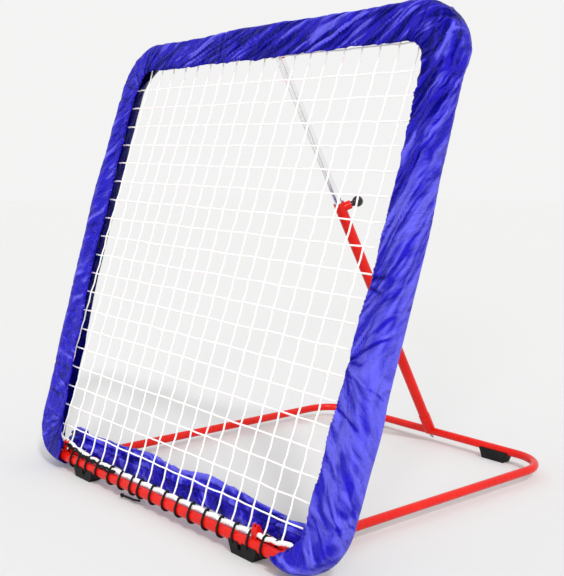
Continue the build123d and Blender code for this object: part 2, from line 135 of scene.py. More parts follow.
def calc(tree, operation, *values):
    """Output of a math node; each value is a number or another node's output."""
    node = add(tree, "ShaderNodeMath", operation=operation)
    for socket, value in zip(node.inputs, values):
        if isinstance(value, (int, float)):
            socket.default_value = value
        else:
            tree.links.new(value, socket)
    return node.outputs[0]


def uv_parts(tree, layer):
    """The two coordinates of a UV layer, as outputs."""
    uv = add(tree, "ShaderNodeUVMap", uv_map=layer)
    split = tree.nodes.new("ShaderNodeSeparateXYZ")
    tree.links.new(uv.outputs["UV"], split.inputs["Vector"])
    return split.outputs["X"], split.outputs["Y"]


def ramp(tree, factor, stops):
    """Colour ramp; each stop is a place from 0 to 1 and a colour."""
    node = tree.nodes.new("ShaderNodeValToRGB")
    elements = node.color_ramp.elements
    while len(elements) < len(stops):
        elements.new(0.5)
    for element, (place, colour) in zip(elements, stops):
        element.position = place
        element.color = (*colour, 1)
    tree.links.new(factor, node.inputs["Fac"])
    return node.outputs["Color"]


def greys(tree, factor, *stops):
    """Ramp of greys; each stop is a place from 0 to 1 and a value."""
    return ramp(tree, factor, [(place, (value,) * 3) for place, value in stops])


def noise(tree, scale, detail=4, rough=0.55):
    """Noise over the object's own coordinates, which are in metres."""
    coords = tree.nodes.new("ShaderNodeTexCoord")
    node = add(tree, "ShaderNodeTexNoise", {"Scale": scale, "Detail": detail, "Roughness": rough})
    tree.links.new(coords.outputs["Object"], node.inputs["Vector"])
    return node.outputs["Fac"]


def bump(tree, shader, height, distance, strength):
    """Adds a bump to those the shader has; distance is in metres."""
    node = add(tree, "ShaderNodeBump", {"Distance": distance, "Strength": strength})
    tree.links.new(height, node.inputs["Height"])
    old = shader.inputs["Normal"].links
    if old:
        tree.links.new(old[0].from_socket, node.inputs["Normal"])
    tree.links.new(node.outputs["Normal"], shader.inputs["Normal"])


def red_paint():
    material, tree, shader = new_material("red_powder_coat")
    colour = ramp(tree, noise(tree, 9, 3), [(0.3, (0.60, 0.005, 0.002)), (0.7, (0.71, 0.010, 0.004))])
    tree.links.new(colour, shader.inputs["Base Color"])
    rough = greys(tree, noise(tree, 60, 3), (0.35, 0.24), (0.7, 0.36))
    tree.links.new(rough, shader.inputs["Roughness"])
    bump(tree, shader, noise(tree, 420, 2), 0.00012, 0.35)
    shader.inputs["Specular IOR Level"].default_value = 0.22
    shader.inputs["Coat Weight"].default_value = 0.06
    shader.inputs["Coat Roughness"].default_value = 0.12
    return material


def plated(name, low, high, rough_low, rough_high, grain):
    """Bare or plated metal: grey and roughness between two values, roughness in patches by grain."""
    material, tree, shader = new_material(name)
    colour = greys(tree, noise(tree, 25, 4), (0.3, low), (0.7, high))
    tree.links.new(colour, shader.inputs["Base Color"])
    rough = greys(tree, noise(tree, grain, 3), (0.35, rough_low), (0.7, rough_high))
    tree.links.new(rough, shader.inputs["Roughness"])
    shader.inputs["Metallic"].default_value = 1.0
    return material


def rubber():
    material, tree, shader = new_material("black_rubber")
    colour = greys(tree, noise(tree, 40, 4), (0.3, 0.003), (0.75, 0.009))
    tree.links.new(colour, shader.inputs["Base Color"])
    shader.inputs["Roughness"].default_value = 0.62
    shader.inputs["Specular IOR Level"].default_value = 0.22
    bump(tree, shader, noise(tree, 900, 3), 0.0002, 0.5)
    return material


def black_plastic():
    material, tree, shader = new_material("black_plastic")
    colour = greys(tree, noise(tree, 30, 3), (0.3, 0.006), (0.7, 0.012))
    tree.links.new(colour, shader.inputs["Base Color"])
    rough = greys(tree, noise(tree, 90, 3), (0.3, 0.10), (0.7, 0.2))
    tree.links.new(rough, shader.inputs["Roughness"])
    return material


CORD_STRANDS = 3
WHITE_GLOW = 0.14                # keeps white cord white in shade


def cord_material(name, low, high, roughness, strand, depth, glow=0.0):
    """Twisted or braided cord; its UVs run along (in metres) and round (0 to 1).

    A strand repeats after strand metres and stands depth metres proud. Cord that glows also has
    subsurface light."""
    material, tree, shader = new_material(name)
    along, around = uv_parts(tree, "run")
    turns = calc(tree, "ADD", calc(tree, "MULTIPLY", along, 1 / strand),
                 calc(tree, "MULTIPLY", around, CORD_STRANDS))
    sine = calc(tree, "SINE", calc(tree, "MULTIPLY", turns, 2 * math.pi))
    height = calc(tree, "MULTIPLY_ADD", sine, 0.5, 0.5)
    # Painted shade: the colour darkens into the grooves between the strands.
    tree.links.new(ramp(tree, height, [(0.1, low), (0.6, high)]), shader.inputs["Base Color"])
    shader.inputs["Roughness"].default_value = roughness
    bump(tree, shader, height, depth, 0.8)
    shader.inputs["Specular IOR Level"].default_value = 0.18
    if glow:
        shader.inputs["Subsurface Weight"].default_value = 0.5
        shader.inputs["Subsurface Scale"].default_value = 0.004
        shader.inputs["Emission Color"].default_value = (1, 0.99, 0.98, 1)
        shader.inputs["Emission Strength"].default_value = glow
    return material


CRUMPLE = 0.42                   # share of the crumples in the nylon's shade
CRUMPLE_DEPTH = 0.0105
WEAVE_SCALE, WEAVE_DEPTH = 140, 0.00003


def nylon(name, low, middle, high, gloss):
    """Thin coated nylon: a fine square weave, small crumples along the folds and a soft gloss.

    Its colour carries painted shade and painted light: from low in crumple valleys and deep folds to high on
    raised ones.
    Its UV maps are run (along the frame and across the cloth, in metres), fold (x crosses the
    folds, y follows them) and lift (painted shade and light, x from 0 in a deep fold to 1 on a raised one)."""
    material, tree, shader = new_material(name)
    raised, _ = uv_parts(tree, "lift")
    fold = add(tree, "ShaderNodeUVMap", uv_map="fold")
    stretched = add(tree, "ShaderNodeMapping", {"Scale": (34, 22, 1)})
    tree.links.new(fold.outputs["UV"], stretched.inputs["Vector"])
    crease = add(tree, "ShaderNodeTexNoise",
                 {"Scale": 1.0, "Detail": 4, "Roughness": 0.62, "Distortion": 1.7})
    tree.links.new(stretched.outputs["Vector"], crease.inputs["Vector"])
    sway = add(tree, "ShaderNodeVectorMath", {"Scale": 0.9}, operation="SCALE")
    tree.links.new(crease.outputs["Color"], sway.inputs[0])
    swayed = add(tree, "ShaderNodeVectorMath", operation="ADD")
    tree.links.new(stretched.outputs["Vector"], swayed.inputs[0])
    tree.links.new(sway.outputs[0], swayed.inputs[1])
    facet = add(tree, "ShaderNodeTexVoronoi", {"Scale": 1.5, "Randomness": 1.0})
    tree.links.new(swayed.outputs[0], facet.inputs["Vector"])
    facets = calc(tree, "MULTIPLY", facet.outputs["Distance"], 0.55)
    crumples = calc(tree, "ADD", crease.outputs["Fac"], facets)
    # Painted shade and light: crumple valleys and deep folds darken the colour, raised ones lighten it.
    shade = calc(tree, "ADD", calc(tree, "MULTIPLY_ADD", crumples, CRUMPLE, -0.75 * CRUMPLE), raised)
    colour = ramp(tree, shade, [(0.16, low), (0.42, middle), (0.56, middle), (0.84, high)])
    tree.links.new(colour, shader.inputs["Base Color"])
    rough = greys(tree, noise(tree, 50, 4), (0.3, 0.30), (0.7, 0.44))
    tree.links.new(rough, shader.inputs["Roughness"])
    uv = add(tree, "ShaderNodeUVMap", uv_map="run")
    for turn in (0, 90):
        weave = add(tree, "ShaderNodeTexWave", {"Scale": WEAVE_SCALE, "Distortion": 0.4, "Detail": 1})
        turned = add(tree, "ShaderNodeMapping", {"Rotation": (0, 0, math.radians(turn))})
        tree.links.new(uv.outputs["UV"], turned.inputs["Vector"])
        tree.links.new(turned.outputs["Vector"], weave.inputs["Vector"])
        bump(tree, shader, weave.outputs["Fac"], WEAVE_DEPTH, 0.3)
    bump(tree, shader, noise(tree, 210, 4, 0.6), 0.0004, 0.4)
    bump(tree, shader, crumples, CRUMPLE_DEPTH, 1.0)
    shader.inputs["Specular IOR Level"].default_value = gloss
    shader.inputs["Specular Tint"].default_value = (0.10, 0.08, 1.0, 1)
    return material


RED = red_paint()
CHROME = plated("bright_tube", 0.88, 0.94, 0.10, 0.2, 80)
ZINC = plated("zinc_plate", 0.48, 0.62, 0.26, 0.42, 120)
RUBBER = rubber()
PLASTIC = black_plastic()
TWINE = cord_material("white_twine", (0.72, 0.70, 0.68), (0.90, 0.885, 0.87),
                      0.62, 0.0045, 0.0005, glow=WHITE_GLOW)
ROPE = cord_material("white_rope", (0.70, 0.69, 0.67), (0.90, 0.885, 0.87),
                     0.6, 0.010, 0.0012, glow=WHITE_GLOW)
BUNGEE = cord_material("black_bungee", (0.0015, 0.0015, 0.002), (0.006, 0.006, 0.007),
                       0.5, 0.003, 0.0005)
# low and high of the nylon are its painted shade and painted light.
NYLON = nylon("blue_nylon", (0.0, 0.0, 0.165), (0.017, 0.010, 0.45), (0.120, 0.112, 0.76), 0.36)
# The lining: a copy of the nylon painted dark as the shade under the front flap.
SHADED_LINING = nylon("blue_lining_painted_shade", (0.0, 0.0, 0.060), (0.0, 0.0, 0.085), (0.001, 0.0, 0.12), 0.08)

SLOT_MATERIALS = {
    "red_paint": RED, "bare_steel": CHROME, "zinc": ZINC, "rubber": RUBBER,
    "black_plastic": PLASTIC, "white_cord": ROPE, "bungee": BUNGEE, "blue_nylon": NYLON,
}
for part in frame["record"]["subparts"]:
    node = frame["nodes"][part["node"]]
    node.data.materials.clear()
    node.data.materials.append(SLOT_MATERIALS[part["material_slot"]])


# ---------------------------------------------------------------- mesh helpers
def mesh_object(name, points, faces, material, smooth=True, **layers):
    """New mesh; each keyword is a UV layer, one pair for every face corner."""
    mesh = bpy.data.meshes.new(name)
    mesh.from_pydata([tuple(p) for p in points], [], [tuple(f) for f in faces])
    mesh.materials.append(material)
    for layer_name, values in layers.items():
        layer = mesh.uv_layers.new(name=layer_name)
        layer.data.foreach_set("uv", np.asarray(values, np.float32).ravel())
    mesh.polygons.foreach_set("use_smooth", [smooth] * len(mesh.polygons))
    mesh.update()
    made = bpy.data.objects.new(name, mesh)
    bpy.context.scene.collection.objects.link(made)
    return made


def tube_arrays(path, radius, sides, closed, start):
    """Points, faces and face-corner UVs of a tube along path; start is its first point's number."""
    path = np.asarray(path, float)
    count = len(path)
    if closed:
        way = np.roll(path, -1, 0) - np.roll(path, 1, 0)
    else:
        way = np.gradient(path, axis=0)
    way /= np.linalg.norm(way, axis=1)[:, None]
    side = np.zeros_like(path)
    first = np.cross(way[0], [0.31, 0.17, 0.93])
    side[0] = first / np.linalg.norm(first)
    for k in range(1, count):
        turned = side[k - 1] - way[k] * (side[k - 1] @ way[k])
        side[k] = turned / np.linalg.norm(turned)
    other = np.cross(way, side)
    angles = np.arange(sides) / sides * 2 * math.pi
    ring = side[:, None] * np.cos(angles)[:, None] + other[:, None] * np.sin(angles)[:, None]
    points = path[:, None] + ring * radius
    run = np.concatenate([[0], np.cumsum(np.linalg.norm(np.diff(path, axis=0), axis=1))])
    faces, uvs = [], []
    spans = count if closed else count - 1
    total = run[-1] + (np.linalg.norm(path[0] - path[-1]) if closed else 0)
    for k in range(spans):
        nxt = (k + 1) % count
        high = run[nxt] if nxt else total
        for a in range(sides):
            b = (a + 1) % sides
            faces.append([start + k * sides + a, start + k * sides + b,
                          start + nxt * sides + b, start + nxt * sides + a])
            uvs += [(run[k], a / sides), (run[k], (a + 1) / sides),
                    (high, (a + 1) / sides), (high, a / sides)]
    if not closed:
        for end, order in ((0, -1), (count - 1, 1)):
            faces.append([start + end * sides + a for a in range(sides)][::order])
            uvs += [(run[end], 0.5)] * sides
    return points.reshape(-1, 3), faces, uvs


class Bundle:
    """Several tubes and blobs gathered into one mesh."""

    def __init__(self):
        self.points, self.faces, self.uvs, self.count = [], [], [], 0

    def tube(self, path, radius, sides=8, closed=False):
        points, faces, uvs = tube_arrays(path, radius, sides, closed, self.count)
        self.points.append(points)
        self.faces += faces
        self.uvs += uvs
        self.count += len(points)

    def blob(self, centre, axes, ball):
        """The unit ball stretched to three half axes; its UVs only give it a little variety."""
        points = np.asarray(ball[0]) @ np.asarray(axes) + np.asarray(centre)
        self.points.append(points)
        for face in ball[1]:
            self.faces.append([self.count + k for k in face])
            self.uvs += [(ball[0][k][0] * 0.004, 0.5 + 0.3 * ball[0][k][1]) for k in face]
        self.count += len(points)

    def build(self, name, material):
        return mesh_object(name, np.concatenate(self.points), self.faces, material, run=self.uvs)


def unit_ball():
    """Points and faces of a ball of radius 1."""
    made = bmesh.new()
    bmesh.ops.create_icosphere(made, subdivisions=2, radius=1.0)
    points = [tuple(v.co) for v in made.verts]
    faces = [[v.index for v in f.verts] for f in made.faces]
    made.free()
    return points, faces


def rounded_ring(reach, low, high, radius, step):
    """Points (u, v) of an upright rounded rectangle, anticlockwise from the bottom's middle."""
    corners = [(reach, low, -90), (reach, high, 0), (-reach, high, 90), (-reach, low, 180)]
    points = [(0.0, low)]
    for u, v, begin in corners:
        cu, cv = u - math.copysign(radius, u), v + (radius if v == low else -radius)
        steps = max(3, int(radius * math.pi / 2 / step))
        for k in range(steps + 1):
            angle = math.radians(begin + 90 * k / steps)
            points.append((cu + radius * math.cos(angle), cv + radius * math.sin(angle)))
    points.append((0.0, low))
    dense = []
    for (a, b), (c, d) in zip(points, points[1:]):
        count = max(1, int(math.hypot(c - a, d - b) / step))
        dense += [(a + (c - a) * k / count, b + (d - b) * k / count) for k in range(count)]
    return dense


# ---------------------------------------------------------------- lacing
# Where the cord rings the bottom rail, in mm from its middle.
LACE_TURNS = [-340, -308, -273, -229, -178, -134, -90, -60, -15,
              32, 78, 121, 167, 214, 259, 302, 341, 372]
LACE_LAG = -0.007      # the cord crosses the rope a little left of where it rings the tube
LACE_STEPS = 28        # points of each turn
SIDE_TURNS = (-4.5, -3.4, -2.4, -1.5, -0.6, 0.5, 1.4, 2.5, 3.5, 4.5)
TUCK = math.radians(33)
TUCK_IN = 0.93         # the tucked belt is this much narrower
# Height of the border rope above the bottom rail's centre, along the rail.
ROPE_RISE = [(-0.46, 0.040), (-0.40, 0.0335), (-0.34, 0.0265), (-0.28, 0.0200), (-0.20, 0.0170),
             (0.25, 0.0165), (0.33, 0.0185), (0.40, 0.0245), (0.46, 0.036)]
SPARE_LEFT, SPARE_RUN = -0.386, 0.222    # where the spare cord lies on the rail
SPARE_POINTS = 200


def loop_section(share):
    """Belt round tube and rope: (inward, out) at a share of the way round, from the rope's front."""
    tube_r = FRAME_R + LACE_R
    rope_r = ROPE_R + LACE_R * 0.9
    slant = math.asin((tube_r - rope_r) / ROPE_IN)
    straight = ROPE_IN * math.cos(slant)
    lengths = [straight, tube_r * (math.pi + 2 * slant), straight, rope_r * (math.pi - 2 * slant)]
    left = share * sum(lengths)
    top = math.pi / 2 - slant
    on_rope = ROPE_IN + rope_r * math.cos(top), rope_r * math.sin(top)
    on_tube = tube_r * math.cos(top), tube_r * math.sin(top)
    if left < lengths[0]:
        k = left / lengths[0]
        return on_rope[0] + (on_tube[0] - on_rope[0]) * k, on_rope[1] + (on_tube[1] - on_rope[1]) * k
    left -= lengths[0]
    if left < lengths[1]:
        angle = top + left / tube_r
        return tube_r * math.cos(angle), tube_r * math.sin(angle)
    left -= lengths[1]
    if left < lengths[2]:
        k = left / lengths[2]
        return on_tube[0] + (on_rope[0] - on_tube[0]) * k, -on_tube[1] + (on_tube[1] - on_rope[1]) * k
    left -= lengths[2]
    angle = -top + left / rope_r
    return ROPE_IN + rope_r * math.cos(angle), rope_r * math.sin(angle)


def tucked_section(share):
    """The same belt turned towards the front, where the rope sits on the sides and the top."""
    inward, out = loop_section(share)
    return (inward * math.cos(TUCK) * TUCK_IN - out * math.sin(TUCK),
            inward * math.sin(TUCK) * TUCK_IN + out * math.cos(TUCK))


def lace_path(turns, section, place, lag=0.0):
    """Spiral through the given turns; place(along, inward, out) gives the row position."""
    path = []
    for here, following in zip(turns, turns[1:]):
        for k in range(LACE_STEPS):
            share = k / LACE_STEPS
            inward, out = section(share)
            ring = here + lag * (1 - min(1, share / 0.25))
            moved = ease(min(1.0, max(0.0, (share - 0.55) / 0.40)))
            path.append(place(ring + (following + lag - here) * moved, inward, out))
    return path


def rope_rise(u):
    """Height of the border rope above the bottom rail's centre, u along the rail."""
    places, heights = zip(*ROPE_RISE)
    return float(np.interp(u, places, heights))


def spare_cord(phase):
    """Spare length of the cord, led back along the front of the rope at the left end."""
    path = []
    for k in range(SPARE_POINTS):
        u = SPARE_LEFT + SPARE_RUN * k / (SPARE_POINTS - 1)
        weave = 0.0026 * math.sin(u * 150 + phase) + 0.0016 * math.sin(u * 67 + 1 + 2 * phase)
        path.append(at(u, rope_rise(u) - 0.0028 + weave, ROPE_R + LACE_R + 0.0004))
    return path


def make_lacing():
    """Lacing round the bottom rail, and that under the cover on the other three sides."""
    turns = [t / 1000 for t in LACE_TURNS]
    bottom = Bundle()
    bottom.tube(lace_path(turns, loop_section, at, LACE_LAG), LACE_R, 10)
    for phase in (0.0, 2.2):
        bottom.tube(spare_cord(phase), LACE_R)
    piece = bottom.build("lacing_bottom_cord", BUNGEE)
    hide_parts("lacing_bottom")
    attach(piece, "net_frame")
    spots = [HALF * (k / 4.5) * 0.80 for k in SIDE_TURNS]
    sides = {
        "lacing_top": lambda along, inward, out: at(along, SIDE - inward, out),
        "lacing_left": lambda along, inward, out: at(-HALF + inward, HALF + along, out),
        "lacing_right": lambda along, inward, out: at(HALF - inward, HALF + along, out),
    }
    for name, place in sides.items():
        spiral = Bundle()
        parts = [spots[:5], spots[5:]] if name == "lacing_top" else [spots]
        for part in parts:
            spiral.tube(lace_path(part, tucked_section, place), LACE_R)
        piece = spiral.build(name + "_cord", BUNGEE)
        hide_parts(name)
        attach(piece, "net_frame")


make_lacing()


TREFOIL_POINTS = 60
TREFOIL_LONG, TREFOIL_WIDE = 0.0020, 0.00105     # scale along the cord and across it
TREFOIL_R = 0.0019                               # the knotted cord, pulled tight


def make_tail():
    """The lacing's loose end, along the route the part gives it, and the knot it ends in."""
    points = [
        (-0.062, RAIL_Y - 0.005, RAIL_Z - 0.0184),
        (-0.080, RAIL_Y - 0.009, RAIL_Z - 0.0210),
        (-0.098, RAIL_Y - 0.006, RAIL_Z - 0.0220),
        (-0.114, RAIL_Y - 0.011, RAIL_Z - 0.0205),
    ]
    data = bpy.data.curves.new("lacing_tail_cord", "CURVE")
    data.dimensions = "3D"
    spline = data.splines.new("NURBS")
    spline.points.add(len(points) - 1)
    for target, point in zip(spline.points, points):
        target.co = (*point, 1)
    spline.order_u = 3
    spline.use_endpoint_u = True
    data.resolution_u = 24
    data.bevel_depth = LACE_R
    data.bevel_resolution = 4
    data.use_fill_caps = True
    data.materials.append(BUNGEE)
    tail = bpy.data.objects.new("lacing_tail_cord", data)
    bpy.context.scene.collection.objects.link(tail)
    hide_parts("lacing_tail")
    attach(tail, "net_frame")
    knot = Bundle()
    centre = Vector(points[-1]) + Vector((-0.0055, -0.0008, 0.0005))
    path = []
    for k in range(TREFOIL_POINTS):
        t = 2 * math.pi * k / TREFOIL_POINTS
        path.append(centre + Vector((-math.sin(3 * t) * TREFOIL_LONG,
                                     (math.sin(t) + 2 * math.sin(2 * t)) * TREFOIL_WIDE,
                                     (math.cos(t) - 2 * math.cos(2 * t)) * TREFOIL_WIDE)))
    knot.tube(path, TREFOIL_R, closed=True)
    piece = knot.build("lacing_end_knot", BUNGEE)
    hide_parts("lacing_knot")
    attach(piece, "net_frame")


make_tail()


# ---------------------------------------------------------------- rope and net
SIDE_ROPE_IN, SIDE_ROPE_OUT = 0.0130, 0.0085     # rope on the sides and top, from the tube's centre
ROPE_CORNER_R = 0.075
ROPE_STEP = 0.005
SIDE_FROM, SIDE_RUN = 0.035, 0.06                # heights over which it comes to its place in front
SCALLOP, SCALLOP_RUN = 0.0034, 0.020             # it bulges this much between turns of the cord,
SCALLOP_DIP = 0.0012                             # and is drawn in this much at them
NET_CLEAR = 0.012                                # no knot stands nearer to the border
MESH_WIDE, MESH_HIGH = 0.0468, 0.0455
MESH_ASKEW_U, MESH_ASKEW_V = 0.0022, 0.0005      # shift for each row and each column
MESH_U, MESH_V = 0.0085, 0.2016                  # the knot of column 0 and row 0
MESH_WOBBLE = 0.0012
TOP_ROWS, TOP_LIFT = -15, 0.007                  # rows above this one are drawn up to the rope
KNOT_LONG, KNOT_WIDE = 0.0031, 0.0024            # half axes


def make_rope():
    reach = HALF - SIDE_ROPE_IN
    ring = rounded_ring(reach, ROPE_IN, SIDE - SIDE_ROPE_IN, ROPE_CORNER_R, ROPE_STEP)
    turns = [t / 1000 + LACE_LAG for t in LACE_TURNS]
    path = []
    for u, v in ring:
        forward = min(1.0, max(0.0, (v - SIDE_FROM) / SIDE_RUN))
        if v < 0.1:
            near = min(abs(u - t) for t in turns)
            lift = rope_rise(u) - ROPE_IN
            scallop = SCALLOP * (min(near, SCALLOP_RUN) / SCALLOP_RUN) ** 0.8 - SCALLOP_DIP
            v += lift * (1 - forward) + (scallop if abs(u) < 0.40 and v < 0.03 else 0)
        path.append(at(u, v, SIDE_ROPE_OUT * forward + 0.0005 * math.sin(u * 140)))
    rope = Bundle()
    rope.tube(path, ROPE_R, 16, closed=True)
    piece = rope.build("net_border_rope", ROPE)
    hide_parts("border_rope")
    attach(piece, "net_frame")


def inside_border(u, v):
    """How far a point of the net lies inside the border rope; negative outside."""
    straight = HALF - SIDE_ROPE_IN - ROPE_CORNER_R
    du, dv = abs(u) - straight, abs(v - HALF) - straight
    if v < 0.2:
        dv += rope_rise(u) - SIDE_ROPE_IN
    if du > 0 and dv > 0:
        return ROPE_CORNER_R - math.hypot(du, dv)
    return ROPE_CORNER_R - max(du, dv)


def net_point(i, j):
    """Knot of column i and row j; rows count downwards, a little askew as the net hangs."""
    wobble = random.Random(i * 131 + j * 17)
    u = MESH_U + MESH_WIDE * i - MESH_ASKEW_U * j + wobble.uniform(-MESH_WOBBLE, MESH_WOBBLE)
    v = MESH_V - MESH_HIGH * j - MESH_ASKEW_V * i + wobble.uniform(-MESH_WOBBLE, MESH_WOBBLE)
    if j < TOP_ROWS:
        v += TOP_LIFT
    return u, v


def to_border(inner, outer):
    """The point between inner and outer that lies on the border rope's inner face."""
    low, high = 0.0, 1.0
    for _ in range(24):
        mid = (low + high) / 2
        u = inner[0] + (outer[0] - inner[0]) * mid
        v = inner[1] + (outer[1] - inner[1]) * mid
        if inside_border(u, v) > ROPE_R * 0.6:
            low = mid
        else:
            high = mid
    return inner[0] + (outer[0] - inner[0]) * low, inner[1] + (outer[1] - inner[1]) * low


def net_line(keys):
    """Points of one twine from border to border, through the knots named by keys."""
    points = [net_point(*key) for key in keys]
    keep = [k for k, p in enumerate(points) if inside_border(*p) > NET_CLEAR]
    if len(keep) < 2:
        return []
    first, last = keep[0], keep[-1]
    line = [points[k] for k in range(first, last + 1)]
    if first > 0:
        line.insert(0, to_border(points[first], points[first - 1]))
    if last < len(points) - 1:
        line.append(to_border(points[last], points[last + 1]))
    return line


def make_net():
    """Twines from border to border, columns in front of and behind rows by turns, and their knots."""
    ball = unit_ball()
    net = Bundle()
    columns, rows = range(-12, 13), range(-20, 7)
    lines = [[(i, j) for j in rows] for i in columns] + [[(i, j) for i in columns] for j in rows]
    bow = random.Random(3)
    for number, keys in enumerate(lines):
        line = net_line(keys)
        level = TWINE_R * (0.55 if number < len(columns) else -0.55)
        path = []
        for (a, b), (c, d) in zip(line, line[1:]):
            sag = bow.uniform(-0.0005, 0.0005)
            for k in range(4):
                share = k / 4
                lift = sag * math.sin(math.pi * share)
                path.append(at(a + (c - a) * share + lift, b + (d - b) * share + lift,
                               level * math.cos(2 * math.pi * share)))
        if line:
            path.append(at(*line[-1], level))
            net.tube(path, TWINE_R)
    for i in columns:
        for j in rows:
            u, v = net_point(i, j)
            if inside_border(u, v) > NET_CLEAR:
                turn = bow.uniform(0.5, 1.1)
                across = (at(math.cos(turn), math.sin(turn)) - at(0, 0)) * KNOT_LONG
                along = (at(-math.sin(turn), math.cos(turn)) - at(0, 0)) * KNOT_WIDE
                deep = (at(0, 0, 1) - at(0, 0)) * KNOT_WIDE
                net.blob(at(u, v), [across, along, deep], ball)
    piece = net.build("net_twine", TWINE)
    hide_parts("net")
    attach(piece, "net_frame")


make_rope()
make_net()


# ---------------------------------------------------------------- cover
COVER_STEP = 0.0026
ROWS = 92
LINING_ROW = 72                  # grid rows from this one to the rear hem have the lining, painted dark as shade
RAIL_END_LEFT, RAIL_END_RIGHT = -0.380, 0.376    # where the cover ends on the bottom rail
SEAM_TOP_LEFT, SEAM_TOP_RIGHT = 0.260, 0.035     # run length past the top corners' ends
# Pressed folds over the right side: run length below its top corner, lean, reach and width.
PRESSED_FOLDS = [(0.385, -0.10, 0.055, 0.0036), (0.400, 0.25, 0.050, 0.0024),
                 (0.530, -0.6, 0.090, 0.0026), (0.610, 0.4, 0.080, 0.0024)]
NOISE_CELLS = (997, 61)
CLOTH_THICK = 0.0006
CLOTH_CLEAR = 0.8 * MM           # least gap between the cloth and the lacing round the tube


def ring_place(s):
    """Tube centre line from the left end on the bottom rail, clockwise to the right end.

    Returns u, v, the outward direction (du, dv) and the ends of the nine legs."""
    arc, straight, inner = math.pi / 2 * CORNER_R, SIDE - 2 * CORNER_R, HALF - CORNER_R
    legs = [RAIL_END_LEFT + inner, arc, straight, arc, straight, arc, straight, arc,
            inner - RAIL_END_RIGHT]
    edges = np.cumsum(legs)
    starts = np.concatenate([[0], edges[:-1]])
    high = SIDE - CORNER_R
    lines = {0: ((RAIL_END_LEFT, 0), (-1, 0)), 2: ((-HALF, CORNER_R), (0, 1)),
             4: ((-inner, SIDE), (1, 0)), 6: ((HALF, high), (0, -1)), 8: ((inner, 0), (-1, 0))}
    arcs = {1: ((-inner, CORNER_R), -90), 3: ((-inner, high), 180), 5: ((inner, high), 90),
            7: ((inner, CORNER_R), 0)}
    place = np.zeros((4, len(s)))
    for leg, (begin, end) in enumerate(zip(starts, edges)):
        here = (s >= begin - 1e-9) & (s <= end + 1e-9)
        run = s[here] - begin
        if leg in lines:
            (u0, v0), (wu, wv) = lines[leg]
            place[:, here] = (u0 + wu * run, v0 + wv * run, -wv + 0 * run, wu + 0 * run)
        else:
            (u0, v0), first = arcs[leg]
            turn = math.radians(first) - run / CORNER_R
            cosine, sine = np.cos(turn), np.sin(turn)
            place[:, here] = (u0 + CORNER_R * cosine, v0 + CORNER_R * sine, cosine, sine)
    return (*place, edges)


def smooth_mix(s, stops):
    """Smooth interpolation of (run length, value) stops."""
    places, values = np.array([p for p, _ in stops]), np.array([x for _, x in stops])
    index = np.clip(np.searchsorted(places, s) - 1, 0, len(places) - 2)
    share = ease(np.clip((s - places[index]) / (places[index + 1] - places[index]), 0, 1))
    return values[index] * (1 - share) + values[index + 1] * share


def soft_noise(x, y, cell_x, cell_y, seed):
    """Smooth value noise in -1 to 1."""
    gx, gy = x / cell_x, y / cell_y
    ix, iy = np.floor(gx).astype(int), np.floor(gy).astype(int)
    fx, fy = ease(gx - ix), ease(gy - iy)
    table = np.random.default_rng(seed).random(NOISE_CELLS) * 2 - 1
    wide, tall = NOISE_CELLS
    left, right, below, above = ix % wide, (ix + 1) % wide, iy % tall, (iy + 1) % tall
    low = table[left, below] * (1 - fx) + table[right, below] * fx
    high = table[left, above] * (1 - fx) + table[right, above] * fx
    return low * (1 - fy) + high * fy


def creases(x, y, length, seed, warp=0.8):
    """Triangle wave along x, bent by noise: straight facets with sharp ridges and valleys."""
    bent = x + warp * length * soft_noise(x, y, length * 1.6, length * 2.6, seed)
    bent = bent + 0.35 * warp * length * soft_noise(x, y, length * 0.7, length * 1.1, seed + 1)
    share = bent / length
    wave = np.abs(share - np.floor(share) - 0.5) * 4 - 1
    fade = np.clip(0.5 + 0.9 * soft_noise(x, y, length * 2.2, length * 3.4, seed + 2), 0, 1)
    return wave * fade


